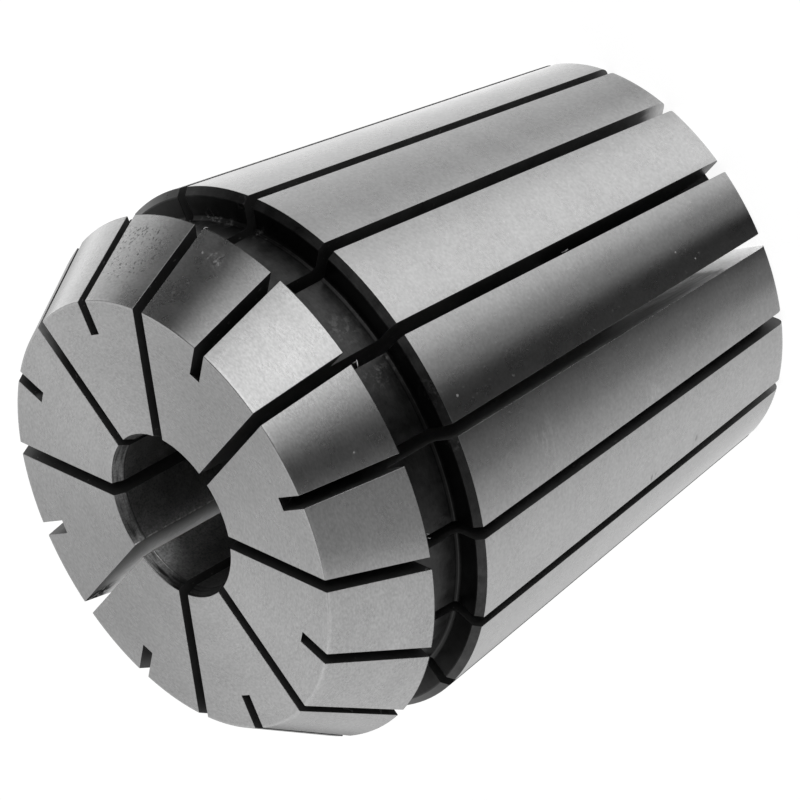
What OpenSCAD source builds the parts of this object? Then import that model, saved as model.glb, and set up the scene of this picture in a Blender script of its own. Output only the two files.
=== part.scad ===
// Double-slit spring collet for round tool shanks, 8 degree body and 30 degree nose.
// The part stands on its small rear face, with its axis up and its nose on top.
// All sizes are in millimetres and all angles in degrees.

/* [Body] */
// overall length from the rear face to the front face
overall_length = 46; // [44:0.5:50]
// diameter at the wide front edge of the tapered body
body_d = 41; // [40:0.5:43]
// half angle of the body taper that seats in the holder
body_angle = 8; // [7:0.5:9]
// chamfer on the wide front edge of the body
body_chamfer = 0.5; // [0.3:0.1:0.8]
// rounding of the rear outer edge
rear_round = 0.7; // [0.4:0.1:1.2]

/* [Nose] */
// diameter at the rim of the nose cone
nose_d = 41; // [40:0.5:42]
// length of the nose cone along the axis
nose_length = 6.6; // [6:0.1:7.2]
// half angle of the nose cone that the nut presses on
nose_angle = 30; // [28:1:32]

/* [Nut groove] */
// diameter of the groove floor behind the nose
groove_d = 36.2; // [35:0.1:37]
// width of the groove between its two walls
groove_w = 4.5; // [4:0.1:5.5]
// fillet between the groove floor and its rear wall
groove_fillet = 0.4; // [0.2:0.1:0.6]

/* [Tool bore] */
// diameter of the bore that grips the shank
bore_d = 12; // [6:0.5:20]
// how far the lead-in at each end stands outside the bore, on the radius
lead_in = 0.4; // [0.2:0.1:0.6]
// depth of the lead-in at each end
lead_in_depth = 0.85; // [0.5:0.05:1.2]

/* [Slits] */
// number of slits open at the front, and the same number open at the rear
slits_each_way = 8; // [4:1:8]
// width of every slit
slit_w = 1; // [0.6:0.01:1.2]
// radius of the slitting saw that leaves the curved slit floors
saw_r = 40; // [35:1:50]
// radius of the slit floor where a rear slit runs out at the front face
front_floor_r = 14.1; // [12.5:0.1:15]
// radius of the slit floor where a front slit runs out at the rear face
rear_floor_r = 13.1; // [12:0.1:13.5]
// depth to which the saw passes inside the bore wall
saw_past_bore = 3; // [2:0.5:4]

/* [Hidden] */
$fn = 96;
steel = [0.62, 0.62, 0.63];
spill = 1;
slit_pitch = 360 / slits_each_way;
bore_r = bore_d / 2;
mouth_r = bore_r + lead_in;
body_r = body_d / 2;
nose_r = nose_d / 2;
face_r = nose_r - nose_length * tan(nose_angle);
groove_r = groove_d / 2;
nose_rim_z = overall_length - nose_length;
groove_low_z = nose_rim_z - groove_w;
body_top_z = groove_low_z - body_chamfer;
rear_r = body_r - body_top_z * tan(body_angle);
round_r = rear_r + rear_round * tan(body_angle) - rear_round / cos(body_angle);
round_end_r = round_r + rear_round * cos(body_angle);
round_end_z = rear_round - rear_round * sin(body_angle);
cut_reach = max(body_r, nose_r) + spill;
saw_low_r = bore_r - saw_past_bore;
saw_centre_r = saw_low_r + saw_r;

// distance along the axis from the saw centre to where its rim reaches a floor radius
function saw_run(floor_r) = sqrt(pow(saw_r, 2) - pow(saw_centre_r - floor_r, 2));

// outer outline of the turned blank, drawn as radius and height
module outline() {
    polygon([
        [0, 0],
        [round_r, 0],
        [round_r, rear_round],
        [round_end_r, round_end_z],
        [body_r, body_top_z],
        [body_r - body_chamfer, groove_low_z],
        [groove_r, groove_low_z],
        [groove_r, nose_rim_z],
        [nose_r, nose_rim_z],
        [face_r, overall_length],
        [0, overall_length]
    ]);
}

// rounding of the rear outer edge, tangent to the rear face and the taper
module rear_edge() {
    translate([round_r, rear_round])
        circle(r = rear_round);
}

// fillet at the foot of the groove's rear wall
module groove_corner() {
    difference() {
        translate([groove_r - spill, groove_low_z - spill])
            square([spill + groove_fillet, spill + groove_fillet]);
        translate([groove_r + groove_fillet, groove_low_z + groove_fillet])
            circle(r = groove_fillet);
    }
}

// turned blank with its bore and the lead-in at each end
module blank() {
    difference() {
        rotate_extrude()
            union() {
                outline();
                rear_edge();
                groove_corner();
            }
        translate([0, 0, -spill])
            cylinder(h = overall_length + 2 * spill, r = bore_r);
        translate([0, 0, overall_length - lead_in_depth])
            cylinder(h = lead_in_depth, r1 = bore_r, r2 = mouth_r);
        cylinder(h = lead_in_depth, r1 = mouth_r, r2 = bore_r);
    }
}

// one saw cut that is open at the top and runs out on its floor radius at height zero
module saw_cut(floor_r) {
    translate([saw_centre_r, slit_w / 2, saw_run(floor_r)])
        rotate([90, 0, 0])
            cylinder(h = slit_w, r = saw_r);
    translate([0, -slit_w / 2, saw_run(floor_r)])
        cube([cut_reach, slit_w, overall_length]);
}

// slits open at the front, set evenly round the axis
module front_slits() {
    for (i = [0 : slits_each_way - 1])
        rotate([0, 0, i * slit_pitch])
            saw_cut(rear_floor_r);
}

// slits open at the rear, halfway between the front ones
module rear_slits() {
    for (i = [0 : slits_each_way - 1])
        rotate([0, 0, (i + 0.5) * slit_pitch])
            translate([0, 0, overall_length])
                mirror([0, 0, 1])
                    saw_cut(front_floor_r);
}

// the whole collet, one hardened steel piece
module collet() {
    color(steel)
        difference() {
            blank();
            front_slits();
            rear_slits();
        }
}

collet();
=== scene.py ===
import math
from collections import namedtuple
import bpy
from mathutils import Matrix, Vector


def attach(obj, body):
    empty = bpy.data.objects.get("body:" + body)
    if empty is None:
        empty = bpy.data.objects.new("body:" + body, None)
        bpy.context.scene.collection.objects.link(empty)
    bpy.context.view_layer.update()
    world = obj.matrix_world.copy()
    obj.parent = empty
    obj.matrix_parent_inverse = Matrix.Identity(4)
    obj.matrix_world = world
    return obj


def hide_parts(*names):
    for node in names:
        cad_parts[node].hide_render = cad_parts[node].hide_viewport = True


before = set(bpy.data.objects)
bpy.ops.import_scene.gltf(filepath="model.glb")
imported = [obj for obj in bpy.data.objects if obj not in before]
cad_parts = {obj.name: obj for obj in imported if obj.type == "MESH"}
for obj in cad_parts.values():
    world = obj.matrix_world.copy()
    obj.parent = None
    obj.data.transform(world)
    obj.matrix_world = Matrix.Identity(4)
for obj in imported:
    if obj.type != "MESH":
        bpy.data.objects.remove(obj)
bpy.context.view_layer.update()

# camera, from a fit of the collet's circles in the photograph
CAMERA_PLACE = (0.473269, -0.083790, 0.334045)
CAMERA_TURN = (-37.1070, 47.2180, -55.8160)
CAMERA_LENS = 355.229
SENSOR_WIDTH = 36
VIEW_END = 20
CAMERA_AZIMUTH = math.atan2(CAMERA_PLACE[1], CAMERA_PLACE[0])

# the collet's own sizes in millimetres and degrees, the same as the solid's
MM = 0.001
HEIGHT = 46.0
BODY_R = 20.5
BODY_ANGLE = 8.0
BODY_CHAMFER = 0.5
REAR_ROUND = 0.7
NOSE_R = 20.5
NOSE_LENGTH = 6.6
NOSE_ANGLE = 30.0
GROOVE_R = 18.1
GROOVE_WIDTH = 4.5
GROOVE_FILLET = 0.4
BORE_R = 6.0
LEAD_IN = 0.4
LEAD_IN_DEPTH = 0.85
SLITS_EACH_WAY = 8
SLIT_WIDTH = 1.0
SAW_R = 40.0
SAW_PAST_BORE = 3.0
# radius at which a rear slit's floor runs out at the front face, and a front slit's at the rear face
FRONT_FLOOR_R = 14.1
REAR_FLOOR_R = 13.1

# sizes that follow from those above
NOSE_RIM = HEIGHT - NOSE_LENGTH
GROOVE_LOW = NOSE_RIM - GROOVE_WIDTH
BODY_TOP = GROOVE_LOW - BODY_CHAMFER
REAR_R = BODY_R - BODY_TOP * math.tan(math.radians(BODY_ANGLE))
FACE_R = NOSE_R - NOSE_LENGTH * math.tan(math.radians(NOSE_ANGLE))
MOUTH_R = BORE_R + LEAD_IN
SLIT_HALF = SLIT_WIDTH / 2
SLIT_COUNT = 2 * SLITS_EACH_WAY
SLIT_PITCH = 360 / SLIT_COUNT
SAW_CENTRE_R = BORE_R - SAW_PAST_BORE + SAW_R
# run-out radius of the slits that are open at the front, and of those that are open at the rear
FLOOR_RADII = (REAR_FLOOR_R, FRONT_FLOOR_R)


class Nodes:
    """Short ways to make and join the nodes of one material or world."""

    def __init__(self, tree):
        self.tree = tree

    def add(self, kind, **settings):
        node = self.tree.nodes.new(kind)
        for name, value in settings.items():
            setattr(node, name, value)
        return node

    def feed(self, socket, value):
        if isinstance(value, bpy.types.NodeSocket):
            self.tree.links.new(value, socket)
        else:
            socket.default_value = value

    def math(self, operation, *values):
        node = self.add("ShaderNodeMath", operation=operation)
        for socket, value in zip(node.inputs, values):
            self.feed(socket, value)
        return node.outputs[0]

    def vector(self, operation, *values):
        node = self.add("ShaderNodeVectorMath", operation=operation)
        for socket, value in zip(node.inputs, values):
            self.feed(socket, value)
        if operation in ("DOT_PRODUCT", "LENGTH", "DISTANCE"):
            return node.outputs["Value"]
        return node.outputs["Vector"]

    def ramp(self, value, low, high, out_low=0.0, out_high=1.0):
        """A smooth step from out_low to out_high as the value goes from low to high."""
        node = self.add("ShaderNodeMapRange", interpolation_type="SMOOTHSTEP")
        for name, given in (("Value", value), ("From Min", low), ("From Max", high),
                            ("To Min", out_low), ("To Max", out_high)):
            self.feed(node.inputs[name], given)
        return node.outputs["Result"]

    def window(self, value, centre, half, soft):
        """1 within half of the centre, falling to 0 over a soft edge."""
        away = self.math("ABSOLUTE", self.math("SUBTRACT", value, centre))
        return self.ramp(away, half - soft / 2, half + soft / 2, 1.0, 0.0)

    def noise(self, vector, scale, detail=2.0, roughness=0.5):
        """Noise round zero, from about -0.5 to 0.5."""
        node = self.add("ShaderNodeTexNoise")
        for name, value in (("Vector", vector), ("Scale", scale),
                            ("Detail", detail), ("Roughness", roughness)):
            self.feed(node.inputs[name], value)
        return self.math("SUBTRACT", node.outputs["Fac"], 0.5)

    def product(self, first, *others):
        for other in others:
            first = self.math("MULTIPLY", first, other)
        return first

    def add_share(self, base, value, share):
        """The base with a share of the value added."""
        return self.math("MULTIPLY_ADD", value, share, base)

    def scale_by(self, base, value, share):
        """The base times one plus a share of the value."""
        return self.product(base, self.add_share(1.0, value, share))

    def mix(self, share, first, second):
        node = self.add("ShaderNodeMix", data_type="FLOAT")
        for index, value in ((0, share), (2, first), (3, second)):
            self.feed(node.inputs[index], value)
        return node.outputs[0]


def grey(value):
    return (value, value, value, 1.0)


def new_material(name):
    """A new material, the helper for its nodes, and its shader."""
    material = bpy.data.materials.new(name)
    material.use_nodes = True
    return material, Nodes(material.node_tree), material.node_tree.nodes["Principled BSDF"]


def add_object(name, data):
    thing = bpy.data.objects.new(name, data)
    bpy.context.scene.collection.objects.link(thing)
    return thing


def make_camera():
    data = bpy.data.cameras.new("camera")
    data.lens = CAMERA_LENS
    data.sensor_width = SENSOR_WIDTH
    data.clip_end = VIEW_END
    camera = add_object("camera", data)
    camera.location = CAMERA_PLACE
    camera.rotation_euler = [math.radians(a) for a in CAMERA_TURN]
    bpy.context.scene.camera = camera


# floor: a pale sheet that looks white and keeps a soft shadow
FLOOR_HALF = 3.0
FLOOR_GREY = 0.25
FLOOR_GLOW = 0.92
DULL = 0.9


def floor_material():
    material, nodes, shader = new_material("floor")
    shader.inputs["Base Color"].default_value = grey(FLOOR_GREY)
    shader.inputs["Roughness"].default_value = DULL
    shader.inputs["Specular IOR Level"].default_value = 0.1
    ray = nodes.add("ShaderNodeLightPath").outputs
    seen = nodes.math("MAXIMUM", ray["Is Camera Ray"], ray["Is Glossy Ray"])
    seen = nodes.math("MAXIMUM", seen, ray["Is Transmission Ray"])
    shader.inputs["Emission Color"].default_value = grey(1.0)
    nodes.feed(shader.inputs["Emission Strength"], nodes.product(seen, FLOOR_GLOW))
    return material


def make_floor():
    mesh = bpy.data.meshes.new("floor")
    corners = [(x * FLOOR_HALF, y * FLOOR_HALF, 0) for x, y in ((-1, -1), (1, -1), (1, 1), (-1, 1))]
    mesh.from_pydata(corners, [], [(0, 1, 2, 3)])
    mesh.materials.append(floor_material())
    floor = add_object("floor", mesh)


# studio walls all round, paler below and darker overhead; heights are in degrees above the horizon
WALL_LIGHT = 0.82
CEILING_LIGHT = 0.28
WALL_TOP = 38
CEILING_START = 54
# soft boxes that add light and dark flags that hold it back, in degrees, with azimuths from the camera
# each row: azimuth, half width, soft edge, height, half height, soft edge, and light added or share held back
SOFT_BOXES = (
    (37, 20, 26, 22, 20, 18, 1.15),
    (-140, 45, 40, 48, 18, 20, 0.25),
)
DARK_FLAGS = (
    (-30, 32, 22, 10, 70, 30, 0.55),
    (-11, 11, 18, 10, 70, 30, 0.8),
    (97, 22, 17, 10, 38, 20, 1.0),
    (127, 16, 36, 0, 38, 20, 0.5),
    (80, 42, 24, 55, 22, 20, 0.7),
    (25, 45, 24, 62, 16, 16, 0.6),
    (180, 50, 40, 10, 60, 30, 0.12),
)


def view_angles(nodes):
    """Azimuth from the camera and height above the horizon of the world's direction, in degrees."""
    direction = nodes.add("ShaderNodeTexCoord").outputs["Generated"]
    turn = nodes.add("ShaderNodeVectorRotate", rotation_type="Z_AXIS")
    nodes.feed(turn.inputs["Vector"], direction)
    turn.inputs["Angle"].default_value = -CAMERA_AZIMUTH
    parts = nodes.add("ShaderNodeSeparateXYZ")
    nodes.feed(parts.inputs[0], turn.outputs[0])
    azimuth = nodes.math("DEGREES", nodes.math("ARCTAN2", parts.outputs["Y"], parts.outputs["X"]))
    height = nodes.math("DEGREES", nodes.math("ARCSINE", parts.outputs["Z"]))
    return azimuth, height


def make_world():
    world = bpy.data.worlds.new("studio")
    bpy.context.scene.world = world
    world.use_nodes = True
    nodes = Nodes(world.node_tree)
    azimuth, height = view_angles(nodes)
    light = nodes.ramp(height, WALL_TOP, CEILING_START, WALL_LIGHT, CEILING_LIGHT)
    for at, half, soft, up, tall, fade, added in SOFT_BOXES:
        box = nodes.product(nodes.window(azimuth, at, half, soft), nodes.window(height, up, tall, fade))
        light = nodes.add_share(light, box, added)
    for at, half, soft, up, tall, fade, held in DARK_FLAGS:
        flag = nodes.product(nodes.window(azimuth, at, half, soft), nodes.window(height, up, tall, fade))
        light = nodes.scale_by(light, flag, -held)
    background = world.node_tree.nodes["Background"]
    background.inputs["Color"].default_value = grey(1.0)
    nodes.feed(background.inputs["Strength"], light)


# glowing card on the floor round the front of the collet, which reflections see and the camera doesn't; it is
# no lamp, and its glow paints the bright and dark reflection bands on the body
# each pair: angle round the body from the camera, in degrees, and the card's glow there, which is the painted
# reflection at that angle
CARD_REFLECTION_GLOW = (
    (-88, 0.4), (-84, 0.2), (-76, 0.83), (-66, 0.88), (-58, 0.88), (-48, 0.92), (-36, 0.76), (-30, 0.54),
    (-21, 0.2), (-12, 0.03), (-6, 0.03), (0, 0.37), (8, 0.95), (15, 1.3), (23, 1.25), (32, 0.93),
    (42, 0.68), (50, 0.83), (60, 1.12), (71, 1.25), (76, 1.65), (80, 0.7), (88, 0.9),
)
CARD_STEP = 1.0
CARD_UP = 0.00002
CARD_GREY = 0.02
# distance of the card's inner edge from the axis
CARD_NEAR = 0.0152
# distance out along each strip, and how much lighter the strips at the sides of the collet are there
CARD_RINGS = ((0.0, 0.35), (0.03, 0.0), (0.25, -0.15), (1.2, -0.15))
# angles between which the strips at the sides start
CARD_SIDES = (62.0, 80.0)
# lighter place on the card at the foot of the collet: middle angle, angle to where it ends, and tone
CARD_FOOT = (-26.0, 20.0, 0.11)


def card_reflection_glow(angle):
    for (low, first), (high, second) in zip(CARD_REFLECTION_GLOW, CARD_REFLECTION_GLOW[1:]):
        if angle <= high:
            share = (angle - low) / (high - low)
            share = share * share * (3 - 2 * share)
            return first + (second - first) * share
    return CARD_REFLECTION_GLOW[-1][1]


def card_glow_on_ring(angle, lighter, at_foot):
    """The glow at an angle on one ring of the card, a painted reflection, with its sides and the collet's
    foot allowed for.
    """
    start, end = CARD_SIDES
    side = min(max((abs(angle) - start) / (end - start), 0.0), 1.0)
    light = card_reflection_glow(angle) * (1.0 + lighter * side)
    if at_foot:
        middle, reach, added = CARD_FOOT
        light += max(1.0 - abs(angle - middle) / reach, 0.0) * added
    return light


def card_point(angle, reach):
    """A place on the path along which a mirror on the body at that angle would send the view."""
    near = CAMERA_AZIMUTH + math.radians(angle)
    away = CAMERA_AZIMUTH + math.radians(2 * angle)
    x = CARD_NEAR * math.cos(near) + reach * math.cos(away)
    y = CARD_NEAR * math.sin(near) + reach * math.sin(away)
    return x, y, CARD_UP


def card_material():
    material, nodes, shader = new_material("reflection_glow_card")
    shader.inputs["Base Color"].default_value = grey(CARD_GREY)
    shader.inputs["Roughness"].default_value = DULL
    shader.inputs["Specular IOR Level"].default_value = 0.0
    shader.inputs["Emission Color"].default_value = grey(1.0)
    # the card glows only for reflections: its glow is painted reflection in the body
    tone = nodes.add("ShaderNodeAttribute", attribute_name="tone").outputs["Fac"]
    nodes.feed(shader.inputs["Emission Strength"], tone)
    return material


def make_card():
    """A fan of glowing strips round the front of the collet, painting the reflections in the body."""
    start, end = CARD_REFLECTION_GLOW[0][0], CARD_REFLECTION_GLOW[-1][0]
    count = round((end - start) / CARD_STEP) + 1
    angles = [start + i * CARD_STEP for i in range(count)]
    points, card_glows, faces = [], [], []
    for ring, (reach, lighter) in enumerate(CARD_RINGS):
        points += [card_point(angle, reach) for angle in angles]
        card_glows += [card_glow_on_ring(angle, lighter, ring == 0) for angle in angles]
    for ring in range(len(CARD_RINGS) - 1):
        first = ring * count
        faces += [(i, i + count, i + count + 1, i + 1) for i in range(first, first + count - 1)]
    mesh = bpy.data.meshes.new("reflection_glow_card")
    mesh.from_pydata(points, [], faces)
    mesh.attributes.new("tone", "FLOAT", "POINT").data.foreach_set("value", card_glows)
    mesh.materials.append(card_material())
    card = add_object("reflection_glow_card", mesh)
    card.visible_camera = False
    card.visible_diffuse = False
    card.visible_shadow = False


# mesh of the collet: fingers between the slits, with every outer edge broken as a ground part has it
# roundings of the turned edges
EDGE_ROUND = 0.05
FACE_ROUND = 0.1
# breaks of the slit edges on the nose and the body, the height where they change, and where each one bends
NOSE_BREAK = 0.025
BODY_BREAK = 0.01
BREAK_CHANGE = BODY_TOP + 0.01
BREAK_BEND = 0.3
# how finely the corners, the fingers and the slit floors are divided
ARC_STEPS = 4
FINGER_STEPS = 9
FLOOR_STEPS = 14
# distance within which a point counts as lying on a line, and that of the extra rows beside a floor's end
TOUCH = 0.001
BESIDE_END = 0.05
# finishes, in the order of the mesh's materials
GROUND, BLACK, BORE, SLIT = range(4)
# states of a slit on a row
OPEN, EDGE, JOINED = range(3)
# slivers left at slit edges: half their thickness, how far their lower corners lie aside and inwards, and
# the places along each, as azimuth from the camera in degrees, radius and height
BURR_SIZE = 0.07
BURR_CORNERS = (0.85, 0.5)
BURRS = (
    ((7.5, 20.3, 39.05), (7.95, 20.4, 39.0), (8.5, 20.4, 38.9), (9.05, 20.3, 38.75)),
    ((8.55, 20.35, 38.85), (8.7, 20.4, 39.0), (8.75, 20.3, 39.2)),
    ((54.1, 20.35, 39.36), (53.75, 20.4, 39.26), (53.4, 20.35, 39.12)),
    ((-28.6, 20.3, 39.3), (-28.8, 20.4, 39.18), (-29.0, 20.3, 39.05)),
    ((-29.6, 20.3, 39.25), (-29.8, 20.4, 39.12), (-30.0, 20.3, 39.0)),
    ((9.05, 17.9, 17.75), (8.85, 18.05, 17.5), (8.95, 18.05, 17.25), (9.1, 17.9, 17.15)),
)

# corner of the outline, with the finish of the stretch that follows it and how many parts that stretch has
Corner = namedtuple("Corner", "r z rounding finish parts")
# row of the mesh: radius, height, outward direction and finish
Row = namedtuple("Row", "r z nr nz finish")


def outline_corners():
    return (
        Corner(MOUTH_R, HEIGHT, EDGE_ROUND, GROUND, 8),
        Corner(FACE_R, HEIGHT, FACE_ROUND, GROUND, 4),
        Corner(NOSE_R, NOSE_RIM, EDGE_ROUND, BLACK, 1),
        Corner(GROOVE_R, NOSE_RIM, EDGE_ROUND, BLACK, 2),
        Corner(GROOVE_R, GROOVE_LOW, GROOVE_FILLET, BLACK, 1),
        Corner(BODY_R - BODY_CHAMFER, GROOVE_LOW, EDGE_ROUND, BLACK, 1),
        Corner(BODY_R, BODY_TOP, EDGE_ROUND, GROUND, 10),
        Corner(REAR_R, 0.0, REAR_ROUND, GROUND, 6),
        Corner(MOUTH_R, 0.0, EDGE_ROUND, BORE, 1),
        Corner(BORE_R, LEAD_IN_DEPTH, EDGE_ROUND, BORE, 12),
        Corner(BORE_R, HEIGHT - LEAD_IN_DEPTH, EDGE_ROUND, BORE, 1),
    )


def saw_run(floor_r):
    """Distance along the axis from the saw's centre to where its rim reaches a radius."""
    return math.sqrt(SAW_R ** 2 - (SAW_CENTRE_R - floor_r) ** 2)


def floor_height(floor_r, radius):
    """Height above the end face at which the saw's floor has reached the radius."""
    return saw_run(floor_r) - saw_run(radius)


def floor_ends():
    """Where the floors of the slits reach the end faces and the bore."""
    return (
        (FRONT_FLOOR_R, HEIGHT),
        (BORE_R, HEIGHT - floor_height(FRONT_FLOOR_R, BORE_R)),
        (REAR_FLOOR_R, 0.0),
        (BORE_R, floor_height(REAR_FLOOR_R, BORE_R)),
    )


def unit(x, y):
    length = math.hypot(x, y)
    return x / length, y / length


def corner_rows(before, corner, after):
    """Rows round one corner of the outline."""
    ar, az = unit(corner.r - before.r, corner.z - before.z)
    br, bz = unit(after.r - corner.r, after.z - corner.z)
    turn = math.atan2(ar * bz - az * br, ar * br + az * bz)
    reach = corner.rounding * math.tan(abs(turn) / 2)
    side = math.copysign(corner.rounding, turn)
    centre_r = corner.r - reach * ar - side * az
    centre_z = corner.z - reach * az + side * ar
    rows = []
    for step in range(ARC_STEPS + 1):
        angle = turn * step / ARC_STEPS
        nr = -az * math.cos(angle) - ar * math.sin(angle)
        nz = ar * math.cos(angle) - az * math.sin(angle)
        rows.append(Row(centre_r - side * nr, centre_z - side * nz, nr, nz, corner.finish))
    return rows


def shares_near(first, last, r, z):
    """The share of the stretch at which a point lies on it, and one a little before and after."""
    dr, dz = last.r - first.r, last.z - first.z
    length = math.hypot(dr, dz)
    along = ((r - first.r) * dr + (z - first.z) * dz) / length
    off = abs((r - first.r) * dz - (z - first.z) * dr) / length
    if off > TOUCH or not 0 < along < length:
        return set()
    return {along / length, (along - BESIDE_END) / length, (along + BESIDE_END) / length}


def straight_rows(first, last, parts):
    """Evenly spaced rows between two corners, and rows where the slit floors run out."""
    shares = {k / parts for k in range(1, parts)}
    for r, z in floor_ends():
        shares |= shares_near(first, last, r, z)
    rows = []
    for share in sorted(shares):
        r = first.r + (last.r - first.r) * share
        z = first.z + (last.z - first.z) * share
        rows.append(first._replace(r=r, z=z))
    return rows


def outline():
    """All rows, from the front face out over the nose and the body and back through the bore."""
    corners = outline_corners()
    count = len(corners)
    arcs = [corner_rows(corners[i - 1], corners[i], corners[(i + 1) % count]) for i in range(count)]
    rows = []
    for i, arc in enumerate(arcs):
        following = arcs[(i + 1) % count]
        rows += arc + straight_rows(arc[-1], following[0], corners[i].parts)
    return rows


def slit_state(row, parity):
    """Whether a slit that opens at the front (parity 0) or rear (1) is open, at its edge or joined."""
    floor_r = FLOOR_RADII[parity]
    low = row.z if parity == 0 else HEIGHT - row.z
    faces_axis = row.nr < -0.5
    in_mouth = row.r < MOUTH_R + EDGE_ROUND and low < HEIGHT / 2
    if faces_axis or in_mouth:
        away = low - floor_height(floor_r, BORE_R)
    elif low < TOUCH:
        away = row.r - floor_r
    else:
        return OPEN
    if abs(away) < TOUCH:
        return EDGE
    return OPEN if away > 0 else JOINED


class Skin:
    """Points, faces, finishes and corner directions of the mesh while it grows."""

    def __init__(self):
        self.points, self.faces, self.finishes, self.normals = [], [], [], []

    def point(self, x, y, z):
        self.points.append((x * MM, y * MM, z * MM))
        return len(self.points) - 1

    def face(self, indices, normals, finish):
        self.faces.append(indices)
        self.normals.extend(normals)
        self.finishes.append(finish)


def turned(x, y, degrees):
    c, s = math.cos(math.radians(degrees)), math.sin(math.radians(degrees))
    return x * c - y * s, x * s + y * c


def place_at(row, degrees):
    return *turned(row.r, 0, degrees), row.z


def facing_at(row, degrees):
    """The row's outward direction at an angle round the axis."""
    return [*turned(row.nr, 0, degrees), row.nz]


def beside_slit(row, state, side, at, lateral, depth, blend):
    """A point beside a slit's middle plane and its outward direction: blend 1 faces the slit, 0 faces out."""
    if state != OPEN:
        depth = blend = 0.0
    radius, z = row.r - depth * row.nr, row.z - depth * row.nz
    x = math.sqrt(radius ** 2 - lateral ** 2)
    px, py = turned(x, side * lateral, at)
    out = facing_at(row, math.degrees(math.atan2(py, px)))
    wall = (*turned(0, -side, at), 0.0)
    direction = [o * (1 - blend) + w * blend for o, w in zip(out, wall)]
    length = math.sqrt(sum(v * v for v in direction))
    return (px, py, z), [v / length for v in direction]


def edge_columns(height):
    """Across a broken slit edge: distance from the slit's middle plane, depth below the skin, and blend."""
    size = NOSE_BREAK if height > BREAK_CHANGE else BODY_BREAK
    inner = BREAK_BEND * size
    return (SLIT_HALF, size, 1.0), (SLIT_HALF + inner, inner, 0.5), (SLIT_HALF + size, 0.0, 0.0)


def finger_row(row, index):
    """Points and outward directions across one finger, from the slit before it to the slit after it."""
    before, after = index * SLIT_PITCH, (index + 1) * SLIT_PITCH
    states = [slit_state(row, (index + k) % 2) for k in (0, 1)]
    columns = edge_columns(row.z)
    low = [beside_slit(row, states[0], 1, before, *column) for column in columns]
    high = [beside_slit(row, states[1], -1, after, *column) for column in columns]
    margin = math.degrees(math.asin((SLIT_HALF + NOSE_BREAK) / row.r))
    middle = []
    for k in range(1, FINGER_STEPS):
        phi = before + margin + (SLIT_PITCH - 2 * margin) * k / FINGER_STEPS
        middle.append((place_at(row, phi), facing_at(row, phi)))
    return low + middle + high[::-1]


def add_finger_points(skin, rows, index):
    """Puts in the points of one finger, and gives their numbers and directions row by row."""
    grid, directions = [], []
    for row in rows:
        made = finger_row(row, index)
        grid.append([skin.point(*place) for place, _ in made])
        directions.append([direction for _, direction in made])
    return grid, directions


def add_finger_faces(skin, rows, finger):
    grid, directions = finger
    for j, row in enumerate(rows):
        k = (j + 1) % len(rows)
        for c in range(len(grid[j]) - 1):
            corners = ((j, c), (k, c), (k, c + 1), (j, c + 1))
            skin.face([grid[a][b] for a, b in corners], [directions[a][b] for a, b in corners], row.finish)


def build_skin():
    """The fingers all round, joined over each slit where it has run out and cut where it is open."""
    skin = Skin()
    rows = outline()
    fingers = []
    mids = {}
    for index in range(SLIT_COUNT):
        fingers.append(add_finger_points(skin, rows, index))
        for j, row in enumerate(rows):
            if slit_state(row, index % 2) != OPEN:
                mids[index, j] = skin.point(*place_at(row, index * SLIT_PITCH))
    for finger in fingers:
        add_finger_faces(skin, rows, finger)
    for index in range(SLIT_COUNT):
        join_across(skin, rows, fingers, mids, index)
        cut_slit(skin, rows, fingers, mids, index)
    return skin


def join_across(skin, rows, fingers, mids, index):
    """Skin over a slit where it has run out."""
    low_grid, low_directions = fingers[index - 1]
    high_grid, high_directions = fingers[index]
    for j, row in enumerate(rows):
        k = (j + 1) % len(rows)
        if (index, j) not in mids or (index, k) not in mids:
            continue
        out_j, out_k = (facing_at(rows[i], index * SLIT_PITCH) for i in (j, k))
        skin.face((low_grid[j][-1], low_grid[k][-1], mids[index, k], mids[index, j]),
                  (low_directions[j][-1], low_directions[k][-1], out_k, out_j), row.finish)
        skin.face((mids[index, j], mids[index, k], high_grid[k][0], high_grid[j][0]),
                  (out_j, out_k, high_directions[k][0], high_directions[j][0]), row.finish)


def open_rows(rows, parity):
    """Rows along a slit's open edge, from its floor's end in the bore to that on the face, and their step."""
    states = [slit_state(row, parity) for row in rows]
    edges = [j for j, state in enumerate(states) if state == EDGE]
    face_edge, bore_edge = sorted(edges, key=lambda j: -rows[j].r)
    step = 1 if states[(bore_edge + 1) % len(rows)] == OPEN else -1
    chain = [bore_edge]
    while chain[-1] != face_edge:
        chain.append((chain[-1] + step) % len(rows))
    return chain, step


def floor_direction(floor_r, parity, x, at):
    up = (saw_run(floor_r) - floor_height(floor_r, x)) / SAW_R
    return [*turned((SAW_CENTRE_R - x) / SAW_R, 0, at), up if parity == 0 else -up]


def floor_rows(skin, parity, at, face_end, bore_end):
    """Rows of three points over a slit's floor, from the end face in to the bore, and their directions."""
    floor_r = FLOOR_RADII[parity]
    radii = [floor_r + (BORE_R - floor_r) * m / FLOOR_STEPS for m in range(FLOOR_STEPS + 1)]
    between = []
    for x in radii[1:-1]:
        low = floor_height(floor_r, x)
        z = low if parity == 0 else HEIGHT - low
        between.append([skin.point(*turned(x, y, at), z) for y in (-SLIT_HALF, 0, SLIT_HALF)])
    return [face_end, *between, bore_end], [floor_direction(floor_r, parity, x, at) for x in radii]


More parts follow.
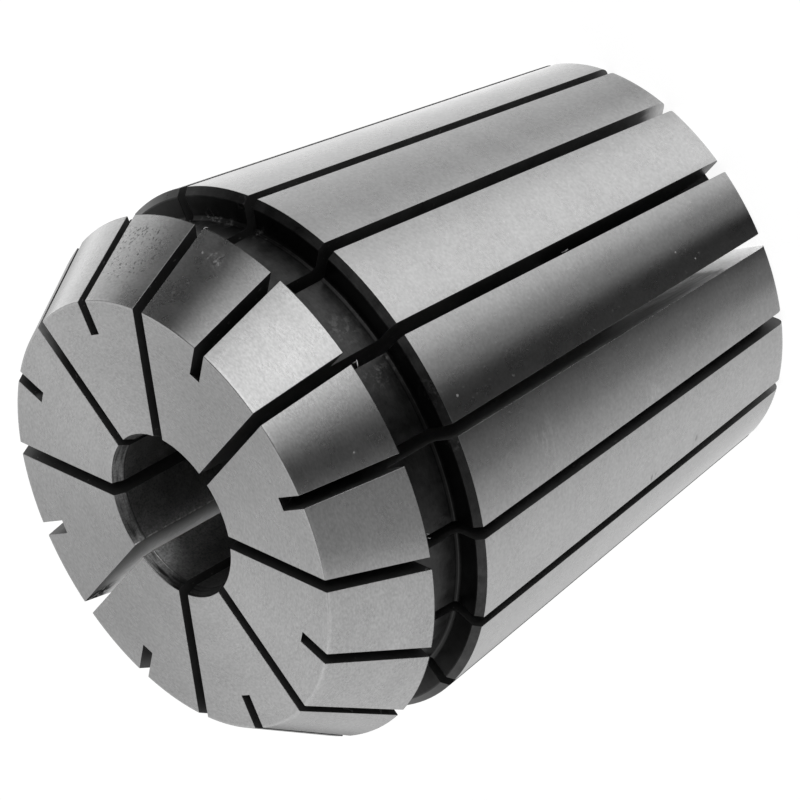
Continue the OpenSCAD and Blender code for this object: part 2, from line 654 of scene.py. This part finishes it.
def cut_slit(skin, rows, fingers, mids, index):
    """The two walls and the curved floor of one slit."""
    parity, at = index % 2, index * SLIT_PITCH
    chain, step = open_rows(rows, parity)
    low_grid, high_grid = fingers[index - 1][0], fingers[index][0]
    ends = [(low_grid[j][-1], mids[index, j], high_grid[j][0]) for j in (chain[-1], chain[0])]
    floor, directions = floor_rows(skin, parity, at, *ends)
    for m in range(FLOOR_STEPS):
        for c in (0, 1):
            indices = [floor[m][c], floor[m][c + 1], floor[m + 1][c + 1], floor[m + 1][c]]
            normals = [directions[m], directions[m], directions[m + 1], directions[m + 1]]
            if parity == 1:
                indices, normals = indices[::-1], normals[::-1]
            skin.face(indices, normals, SLIT)
    for grid, column, side, place in ((low_grid, -1, 1, 0), (high_grid, 0, -1, 2)):
        loop = [grid[j][column] for j in chain] + [row[place] for row in floor[1:-1]]
        if (side == 1) != (step == 1):
            loop = loop[::-1]
        wall = [*turned(0, side, at), 0.0]
        skin.face(loop, [wall] * len(loop), SLIT)


def steel_point(azimuth, radius, height):
    """A place in millimetres on the collet, from its azimuth from the camera in degrees."""
    angle = CAMERA_AZIMUTH + math.radians(azimuth)
    return radius * math.cos(angle), radius * math.sin(angle), height


def add_burr(skin, path):
    """A thin sliver of steel along a path of places, three-cornered across and tapered to its ends."""
    places = [Vector(steel_point(*place)) for place in path]
    wide, deep = BURR_CORNERS
    rings = []
    for i, place in enumerate(places):
        tip = i == 0 or i == len(places) - 1
        along = (places[min(i + 1, len(places) - 1)] - places[max(i - 1, 0)]).normalized()
        out = Vector((place.x, place.y, 0)).normalized()
        aside = along.cross(out)
        directions = (out, wide * aside - deep * out, -wide * aside - deep * out)
        size = BURR_SIZE / 3 if tip else BURR_SIZE
        rings.append([(skin.point(*(place + size * n)), n) for n in directions])
    for ring, following in zip(rings, rings[1:]):
        for k in range(3):
            corners = (ring[k], ring[k - 2], following[k - 2], following[k])
            skin.face([index for index, _ in corners], [n for _, n in corners], GROUND)


def make_collet(materials):
    skin = build_skin()
    for path in BURRS:
        add_burr(skin, path)
    mesh = bpy.data.meshes.new("collet_steel")
    mesh.from_pydata(skin.points, [], skin.faces)
    for material in materials:
        mesh.materials.append(material)
    mesh.polygons.foreach_set("material_index", skin.finishes)
    mesh.polygons.foreach_set("use_smooth", [True] * len(skin.faces))
    mesh.normals_split_custom_set(skin.normals)
    piece = add_object("collet_steel", mesh)
    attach(piece, "root")
    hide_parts("collet")


# base greys of the finishes
GROUND_GREY = 0.43
BLACK_GREY = 0.045
BORE_GREY = 0.15
LEAD_IN_GREY = 0.15
SLIT_GREY = 0.055
SLIT_BODY_GREY = 0.12
# grey of the slit walls where light is painted in
LIT_WALL_GREY = 0.95
# share of each finish that is bare metal, the rest is the dull black of hardening
BLACK_BARE = 0.85
BORE_BARE = 0.9
SLIT_BARE = 0.4
# mirror strength and tint of the slits' black
SLIT_GLOSS = 0.25
SLIT_EDGE_TINT = 0.8
# how far reflections are stretched, and the turn that puts the stretch across the grain
GROUND_STRETCH = 0.85
TURNED_STRETCH = 0.5
QUARTER_TURN = 0.25

# fine grain of the ground steel, in features per millimetre round the axis and across it
GRAIN_AROUND = 3.5
GRAIN_ACROSS = 5.0
# share of the ground steel's tone that the grain moves on the body and on the nose, then mottle and patches
BODY_GRAIN = 0.35
NOSE_GRAIN = 0.5
MOTTLE = 0.16
PATCHES = 0.2
GROUND_ROUGHNESS = 0.28
# depths of the finishes' relief in millimetres
GROUND_RELIEF = 0.003
TURNED_RELIEF = 0.004
SAWN_RELIEF = 0.006
# pitted segment of the nose cone: angle from +X, half width and soft edge, and how dark its pits are
PITTED_SEGMENT = (58.5, 2.6, 1.6)
PIT_DARKNESS = 0.6
# heights over which the pits start above the nose's rim and thin out below the face
PITS_START = (NOSE_RIM + 0.6, NOSE_RIM + 1.2)
PITS_END = (HEIGHT - 0.8, HEIGHT - 2.8)
# painted highlight line between front face and nose cone: radius, half width, height where it starts, and
# light added
FACE_HIGHLIGHT_R = FACE_R - 0.03
FACE_HIGHLIGHT_HALF = 0.12
FACE_HIGHLIGHT_START = (HEIGHT - 0.4, HEIGHT - 0.3)
FACE_HIGHLIGHT_LIGHT = 0.15
# height over which the black of the slits changes from the nose's to the body's
BLACK_CHANGE = (GROOVE_LOW, 31.0)
# radii and heights over which the darkening at the outer end of the bright front slit comes in
OUTER_DARK_RADII = (14.5, 16.5)
OUTER_DARK_HEIGHTS = (43.0, 44.6)
# painted light on the front slit's wall: depth over which it brightens, radii over which it does, its dark
# line and its lower end
LIT_DEPTHS = (0.0, 5.0)
LIT_RADII = (9.0, 14.0)
LIT_DARK_LINE = (0.2, 0.8)
LIT_HEIGHTS = (28.0, 34.0)
# painted light on rear walls, as heights above the rear face: end of the bright part, where its streaks fade
# and start, dark band with its half width and soft edge, end of the lit tip, and end of the pale slit
BRIGHT_END = (4.0, 4.8)
STREAKS_FADE = (6.0, 20.0)
STREAKS_START = (3.0, 6.0)
DARK_BAND = (5.1, 0.4, 0.8)
TIP_END = (2.7, 1.4)
PALE_END = (14.0, 0.0)
# painted light line under the body's skin on the lit rear wall: its depths, where it starts and where it
# fades
RIM_DEPTHS = (0.3, 1.0)
RIM_START = (3.0, 5.0)
RIM_FADE = (28.0, 8.0)

# slits whose walls get painted light, by their angle from +X: one by the bore's mouth, then three at the rear
# end
BRIGHT_FRONT_SLIT = 180.0
BRIGHT_REAR_SLIT = -22.5
BRIGHT_TIP_SLIT = 22.5
PALE_REAR_SLIT = -67.5
# half width and soft edge of the band round a slit's middle plane that holds both its walls
SLIT_BAND = (0.8, 0.2)

# places on the steel: azimuth from the camera in degrees, radius and height, then size in millimetres
# nicks, with their glints painted in as light
NICKS_AND_GLINTS = (
    (49.8, 19.64, 40.88, 0.12), (-7.1, 19.05, 41.92, 0.13), (-6.8, 20.30, 32.97, 0.16),
    (5.2, 16.34, 4.83, 0.13), (-3.8, 16.86, 8.50, 0.13), (-7.6, 16.65, 7.00, 0.13),
)
# place of painted shade in the groove, and scratched star on the nose cone
GROOVE_SHADE = (64.0, 18.1, 36.5, 6.0)
STAR = (45.9, 19.61, 40.94, 1.1)
# painted light: a bright patch on the bore wall, on the side of the bright slit towards -Y
BORE_LIT_PATCH = (-168, 6.0, 46.2, 4.3)
# scuffed places on the blackened steel, and how light they are
SCUFFS = (
    (69.5, 18.1, 35.4, 1.4, 1.0), (66.5, 18.1, 35.1, 0.9, 1.0), (50.9, 18.1, 35.1, 1.1, 0.8),
    (62.7, 18.1, 35.2, 1.2, 0.6), (56.9, 20.0, 34.9, 1.0, 0.7), (-4.0, 20.2, 34.7, 1.8, 0.4),
    (-14.0, 20.2, 34.7, 1.4, 0.5), (18.0, 18.1, 36.5, 2.0, 0.25), (6.0, 18.1, 36.2, 2.4, 0.35),
)
# scratches on the body and how light they are, and marks, whose light is below zero
MARKS = (
    (-24.4, 19.4, 26.5, 2.4, 0.2), (-30.6, 17.75, 14.8, 1.9, 0.17),
    (-80.9, 18.5, 20.4, 1.0, -0.8), (-54.0, 17.8, 15.3, 0.5, -0.8), (-52.5, 17.15, 10.6, 0.6, -0.6),
)
# lighter places on a slit wall and a slit floor, and how light they are; the small bright one at the floor's
# end is painted light where that floor is seen lit
SLIT_LIGHTER_PLACES = ((100.0, 16.4, 45.7, 3.2, 0.3), (122.5, 14.6, 45.7, 0.7, 1.2))


class Steel:
    """One finish of the steel: its shader, and places on the collet in millimetres for its nodes."""

    def __init__(self, name, stretch, bare=1.0):
        self.material, self.nodes, self.shader = new_material(name)
        nodes = self.nodes
        self.shader.inputs["Metallic"].default_value = bare
        self.shader.inputs["Anisotropic"].default_value = stretch
        self.shader.inputs["Anisotropic Rotation"].default_value = QUARTER_TURN
        tangent = nodes.add("ShaderNodeTangent", direction_type="RADIAL", axis="Z")
        nodes.feed(self.shader.inputs["Tangent"], tangent.outputs[0])
        coords = nodes.add("ShaderNodeTexCoord").outputs["Object"]
        self.mm = nodes.vector("MULTIPLY", coords, (1 / MM, 1 / MM, 1 / MM))
        parts = nodes.add("ShaderNodeSeparateXYZ")
        nodes.feed(parts.inputs[0], self.mm)
        self.x, self.y, self.z = parts.outputs
        self.radius = nodes.vector("LENGTH", nodes.vector("MULTIPLY", self.mm, (1, 1, 0)))

    def rings(self, around, across):
        """Coordinates that change slowly round the axis and fast across it, so that noise runs in rings."""
        nodes = self.nodes
        joined = nodes.add("ShaderNodeCombineXYZ")
        nodes.feed(joined.inputs[0], nodes.product(self.x, around))
        nodes.feed(joined.inputs[1], nodes.product(self.y, around))
        across_axis = nodes.math("SUBTRACT", self.z, self.radius)
        nodes.feed(joined.inputs[2], nodes.product(across_axis, across))
        return joined.outputs[0]

    def sector(self, degrees, half, soft):
        """1 within half of a half-plane from the axis, at an angle from +X, falling to 0 over a soft edge."""
        nodes = self.nodes
        c, s = math.cos(math.radians(degrees)), math.sin(math.radians(degrees))
        aside = nodes.vector("DOT_PRODUCT", self.mm, (-s, c, 0))
        ahead = nodes.vector("DOT_PRODUCT", self.mm, (c, s, 0))
        return nodes.product(nodes.window(aside, 0.0, half, soft), nodes.ramp(ahead, 1.0, 2.0))

    def near(self, azimuth, radius, height, size):
        """1 at a place on the collet, falling to 0 at the size given."""
        nodes = self.nodes
        away = nodes.vector("DISTANCE", self.mm, steel_point(azimuth, radius, height))
        return nodes.ramp(away, 0.0, size, 1.0, 0.0)

    def add_places(self, tone, places):
        """The tone with the light of each place added."""
        for *place, light in places:
            tone = self.nodes.add_share(tone, self.near(*place), light)
        return tone

    def finish(self, tone, roughness, relief, depth):
        """Feeds tone and roughness, and a bump from the relief, whose depth is given in millimetres."""
        nodes = self.nodes
        color = nodes.add("ShaderNodeCombineColor")
        for socket in color.inputs[:3]:
            nodes.feed(socket, tone)
        nodes.feed(self.shader.inputs["Base Color"], color.outputs[0])
        nodes.feed(self.shader.inputs["Roughness"], roughness)
        bump = nodes.add("ShaderNodeBump")
        bump.inputs["Strength"].default_value = 1.0
        bump.inputs["Distance"].default_value = depth * MM
        nodes.feed(bump.inputs["Height"], relief)
        nodes.feed(self.shader.inputs["Normal"], bump.outputs[0])
        return self.material


def ground_steel():
    """Skin of the body, the nose cone and the end faces, ground round the axis."""
    steel = Steel("ground_steel", GROUND_STRETCH)
    nodes = steel.nodes
    grain = nodes.noise(steel.rings(GRAIN_AROUND, GRAIN_ACROSS), 1.0, 1.0, 0.5)
    mottle = nodes.noise(steel.mm, 0.5, 3.0, 0.6)
    patches = nodes.noise(steel.rings(0.15, 0.5), 1.0, 3.0, 0.6)
    pits = cone_pits(steel)
    glints = nick_glints(steel)
    tone = nodes.add_share(1.0, grain, nodes.ramp(steel.z, BODY_TOP, NOSE_RIM, BODY_GRAIN, NOSE_GRAIN))
    tone = nodes.add_share(tone, mottle, MOTTLE)
    tone = nodes.add_share(tone, patches, PATCHES)
    tone = nodes.scale_by(tone, pits, -PIT_DARKNESS)
    tone = nodes.scale_by(tone, body_marks(steel), 1.0)
    # painted glints of the nicks, scratches and dots
    tone = nodes.math("ADD", tone, glints)
    # painted highlight along the edge of the front face
    tone = nodes.add_share(tone, face_edge_highlight(steel), FACE_HIGHLIGHT_LIGHT)
    tone = nodes.math("MINIMUM", nodes.product(tone, GROUND_GREY), 0.98)
    roughness = nodes.add_share(GROUND_ROUGHNESS, mottle, 0.1)
    roughness = nodes.math("MINIMUM", nodes.add_share(roughness, glints, 0.8), 0.75)
    relief = nodes.add_share(grain, pits, -0.5)
    return steel.finish(tone, roughness, relief, GROUND_RELIEF)


def cone_pits(steel):
    """Small dark pits over one segment of the nose cone, thinning out towards the face."""
    nodes = steel.nodes
    dots = nodes.noise(steel.mm, 4.2, 1.0, 0.5)
    clusters = nodes.add_share(dots, nodes.noise(steel.mm, 0.6, 1.0), 0.25)
    pits = nodes.ramp(clusters, 0.09, 0.17)
    segment = steel.sector(*PITTED_SEGMENT)
    return nodes.product(pits, segment, nodes.ramp(steel.z, *PITS_START), nodes.ramp(steel.z, *PITS_END))


def body_marks(steel):
    """Faint light scratches and dark marks at their own places on the body."""
    nodes = steel.nodes
    ragged = nodes.ramp(nodes.noise(steel.rings(1.0, 4.5), 1.0, 2.0, 0.6), -0.02, 0.12)
    return nodes.product(steel.add_places(0.0, MARKS), ragged)


def nick_glints(steel):
    """Nicks at their own places, a scratched star, and a few tiny dots all over, lightened in colour: real
    marks with their glints painted in.
    """
    nodes = steel.nodes
    dots = nodes.ramp(nodes.noise(steel.mm, 3.5, 0.0), 0.28, 0.33)
    light = nodes.product(dots, nodes.ramp(steel.z, BODY_TOP, NOSE_RIM, 0.2, 0.05))
    for nick in NICKS_AND_GLINTS:
        light = nodes.math("ADD", steel.near(*nick), light)
    scratches = nodes.ramp(nodes.math("ABSOLUTE", nodes.noise(steel.mm, 2.2, 2.0)), 0.04, 0.0)
    return nodes.add_share(light, nodes.product(steel.near(*STAR), scratches), 0.4)


def face_edge_highlight(steel):
    """Painted highlight: a lighter line along the edge between the front face and the nose cone."""
    nodes = steel.nodes
    line = nodes.window(steel.radius, FACE_HIGHLIGHT_R, FACE_HIGHLIGHT_HALF, FACE_HIGHLIGHT_HALF)
    return nodes.product(line, nodes.ramp(steel.z, *FACE_HIGHLIGHT_START))


def black_steel():
    """Nut groove and chamfer, blackened by hardening and never ground."""
    steel = Steel("black_steel", TURNED_STRETCH, BLACK_BARE)
    nodes = steel.nodes
    smudges = nodes.noise(steel.mm, 0.8, 4.0, 0.65)
    grain = nodes.noise(steel.rings(2.0, 6.0), 1.0, 3.0, 0.7)
    tone = nodes.add_share(1.0, smudges, 1.8)
    tone = nodes.add_share(tone, grain, 0.8)
    # painted shade in the groove's corner
    tone = nodes.scale_by(tone, groove_corner_shade(steel), -0.7)
    # painted shade over one side of the groove floor
    tone = nodes.scale_by(tone, steel.near(*GROOVE_SHADE), -0.7)
    tone = nodes.product(nodes.math("MAXIMUM", tone, 0.1), BLACK_GREY)
    tone = nodes.add_share(tone, groove_scuffs(steel), 0.25)
    roughness = nodes.add_share(0.33, smudges, 0.3)
    return steel.finish(tone, roughness, grain, TURNED_RELIEF)


def groove_corner_shade(steel):
    """Painted shade: the groove's rear wall and two bands of the fillet at its foot, darkened in colour."""
    nodes = steel.nodes
    edge_r = BODY_R - BODY_CHAMFER
    wall = nodes.window(steel.z, GROOVE_LOW, 0.12, 0.05)
    wall = nodes.product(wall, nodes.ramp(steel.radius, edge_r - 0.05, edge_r - 0.15))
    fillet = nodes.window(steel.z, GROOVE_LOW + 0.28, 0.12, 0.06)
    fillet = nodes.product(fillet, nodes.ramp(steel.radius, GROOVE_R + 0.2, GROOVE_R + 0.15))
    return nodes.math("MAXIMUM", wall, fillet)


def groove_scuffs(steel):
    """Light ragged scuffs at their own places in the groove and on the chamfer."""
    nodes = steel.nodes
    scuffed = 0.0
    for *place, light in SCUFFS:
        scuffed = nodes.math("MAXIMUM", nodes.product(steel.near(*place), light), scuffed)
    ragged = nodes.ramp(nodes.noise(steel.mm, 2.0, 4.0, 0.65), -0.02, 0.18)
    return nodes.product(scuffed, ragged)


def bore_steel():
    """Bore, dull and dark, with turning rings on its lead-in and a patch of painted light by the mouth."""
    steel = Steel("bore_steel", TURNED_STRETCH, BORE_BARE)
    nodes = steel.nodes
    grain = nodes.noise(steel.mm, 6.0, 3.0, 0.7)
    rings = nodes.noise(steel.rings(0.3, 7.0), 1.0, 2.0, 0.6)
    smudges = nodes.noise(steel.mm, 0.9, 3.0, 0.6)
    lead_in = nodes.ramp(steel.radius, BORE_R + 0.01, BORE_R + 0.03)
    lower = nodes.ramp(steel.y, 0.2, -0.4)
    # painted light on the bore wall beside the bright slit
    patch = nodes.product(steel.near(*BORE_LIT_PATCH), lower, nodes.add_share(1.0, lead_in, -0.9))
    lines = nodes.product(nodes.math("ABSOLUTE", rings), nodes.add_share(0.6, lead_in, 5.0))
    turned_line = nodes.window(steel.z, HEIGHT - LEAD_IN_DEPTH, 0.06, 0.06)
    tone = nodes.mix(lead_in, BORE_GREY, nodes.mix(lower, LEAD_IN_GREY, LEAD_IN_GREY / 2.6))
    tone = nodes.add_share(tone, patch, 0.5)
    # painted highlight of the burrs on the bore's edge
    tone = nodes.add_share(tone, burr_highlight(steel), 0.25)
    tone = nodes.scale_by(tone, grain, 2.0)
    tone = nodes.scale_by(tone, smudges, 0.8)
    tone = nodes.product(tone, nodes.math("SUBTRACT", 1.4, lines))
    tone = nodes.scale_by(tone, turned_line, -0.6)
    tone = nodes.math("MAXIMUM", tone, 0.01)
    roughness = nodes.add_share(0.42, smudges, 0.2)
    return steel.finish(tone, roughness, nodes.math("ADD", rings, grain), TURNED_RELIEF)


def burr_highlight(steel):
    """Thin line of burrs on the bore's edge along the upper side of the bright slit, with the light they
    catch painted in as a highlight.
    """
    nodes = steel.nodes
    line = nodes.window(steel.y, SLIT_HALF + 0.05, 0.05, 0.04)
    broken = nodes.ramp(nodes.noise(steel.mm, 2.0, 2.0), -0.1, 0.1)
    return nodes.product(line, nodes.ramp(steel.x, 0.0, -1.0), broken)


def slit_steel():
    """Walls and floors of the slits, black from hardening apart from the walls where bright light is painted
    in.
    """
    steel = Steel("slit_steel", 0.0)
    nodes = steel.nodes
    steel.shader.inputs["Specular IOR Level"].default_value = SLIT_GLOSS
    steel.shader.inputs["Specular Tint"].default_value = grey(SLIT_EDGE_TINT)
    saw_marks = nodes.noise(nodes.vector("MULTIPLY", steel.mm, (1.5, 1.5, 6.0)), 1.0, 3.0, 0.7)
    smudges = nodes.noise(steel.mm, 0.7, 4.0, 0.65)
    dust = nodes.ramp(nodes.noise(steel.mm, 3.0, 0.0), 0.28, 0.33)
    outer_dark = slit_outer_dark(steel)
    # painted light on slit walls by the bore's mouth and at the rear end
    lit_wall = nodes.product(front_wall_light(steel), nodes.math("SUBTRACT", 1.0, outer_dark))
    lit_wall = nodes.math("MAXIMUM", lit_wall, rear_wall_light(steel))
    black = nodes.ramp(steel.z, *BLACK_CHANGE, SLIT_GREY, SLIT_BODY_GREY)
    tone = nodes.mix(lit_wall, black, LIT_WALL_GREY)
    tone = nodes.scale_by(tone, saw_marks, 0.5)
    tone = nodes.scale_by(tone, smudges, 0.7)
    tone = nodes.scale_by(tone, outer_dark, -0.8)
    tone = nodes.add_share(tone, dust, 0.12)
    # lighter places, one of them painted light at a slit floor's end
    tone = steel.add_places(tone, SLIT_LIGHTER_PLACES)
    nodes.feed(steel.shader.inputs["Metallic"], nodes.ramp(lit_wall, 0.05, 0.3, SLIT_BARE, 1.0))
    roughness = nodes.add_share(0.4, smudges, 0.2)
    roughness = nodes.add_share(roughness, outer_dark, 0.5)
    return steel.finish(tone, roughness, saw_marks, SAWN_RELIEF)


def slit_outer_dark(steel):
    """Ragged darkening on the wall of the bright front slit, near its outer end."""
    nodes = steel.nodes
    ragged = nodes.ramp(nodes.noise(steel.mm, 1.8, 4.0, 0.7), -0.1, 0.0)
    outer_end = nodes.product(nodes.ramp(steel.radius, *OUTER_DARK_RADII), nodes.ramp(steel.z, *OUTER_DARK_HEIGHTS))
    return nodes.product(ragged, outer_end, steel.sector(BRIGHT_FRONT_SLIT, *SLIT_BAND))


def front_wall_light(steel):
    """Painted light on the wall beside the bore's mouth, brighter with depth below the edges."""
    nodes = steel.nodes
    below_face = nodes.math("SUBTRACT", HEIGHT, steel.z)
    behind_bore = nodes.math("SUBTRACT", steel.radius, BORE_R)
    deep = nodes.ramp(nodes.math("MINIMUM", below_face, behind_bore), *LIT_DEPTHS, 0.2, 0.95)
    outwards = nodes.ramp(steel.radius, *LIT_RADII, 0.9, 1.4)
    dark_line = nodes.ramp(behind_bore, *LIT_DARK_LINE, 0.5, 1.0)
    slit = steel.sector(BRIGHT_FRONT_SLIT, *SLIT_BAND)
    return nodes.product(slit, deep, outwards, dark_line, nodes.ramp(steel.z, *LIT_HEIGHTS))


def rear_wall_light(steel):
    """Painted light on walls at the rear end: one slit bright and streaked, one at its tip, and one a little
    pale.
    """
    nodes = steel.nodes
    streaks = nodes.noise(nodes.vector("MULTIPLY", steel.mm, (2.0, 2.0, 0.25)), 1.0, 2.0, 0.6)
    wavy = nodes.add_share(steel.z, streaks, 1.5)
    lit_wall = nodes.math("ADD", rear_streaks(steel, streaks, wavy), rear_rim(steel))
    lit_wall = nodes.product(lit_wall, steel.sector(BRIGHT_REAR_SLIT, *SLIT_BAND))
    tip = nodes.ramp(wavy, *TIP_END, 0.0, 0.42)
    tip = nodes.product(tip, steel.sector(BRIGHT_TIP_SLIT, *SLIT_BAND))
    pale = nodes.ramp(steel.z, *PALE_END, 0.0, 0.16)
    pale = nodes.product(pale, steel.sector(PALE_REAR_SLIT, *SLIT_BAND))
    return nodes.math("MAXIMUM", nodes.math("MAXIMUM", lit_wall, tip), pale)


def rear_streaks(steel, streaks, wavy):
    """Painted light: bright by the rear face, then a dark band, then fading in streaks along the slit."""
    nodes = steel.nodes
    bright = nodes.ramp(wavy, *BRIGHT_END, 1.0, 0.45)
    fading = nodes.ramp(wavy, *STREAKS_FADE, 1.0, 0.1)
    band = nodes.add_share(1.0, nodes.window(wavy, *DARK_BAND), -0.5)
    streaky = nodes.product(streaks, nodes.ramp(steel.z, *STREAKS_START))
    streaky = nodes.add_share(1.0, streaky, 2.4)
    return nodes.product(bright, fading, band, streaky)


def rear_rim(steel):
    """Painted lighter line on a slit's wall, just under the skin of the body."""
    nodes = steel.nodes
    skin = nodes.add_share(REAR_R, steel.z, math.tan(math.radians(BODY_ANGLE)))
    rim = nodes.ramp(nodes.math("SUBTRACT", skin, steel.radius), *RIM_DEPTHS, 0.3, 0.0)
    return nodes.product(rim, nodes.ramp(steel.z, *RIM_START), nodes.ramp(steel.z, *RIM_FADE))


bpy.context.scene.view_settings.view_transform = "Standard"
make_camera()
make_floor()
make_card()
make_world()
make_collet((ground_steel(), black_steel(), bore_steel(), slit_steel()))
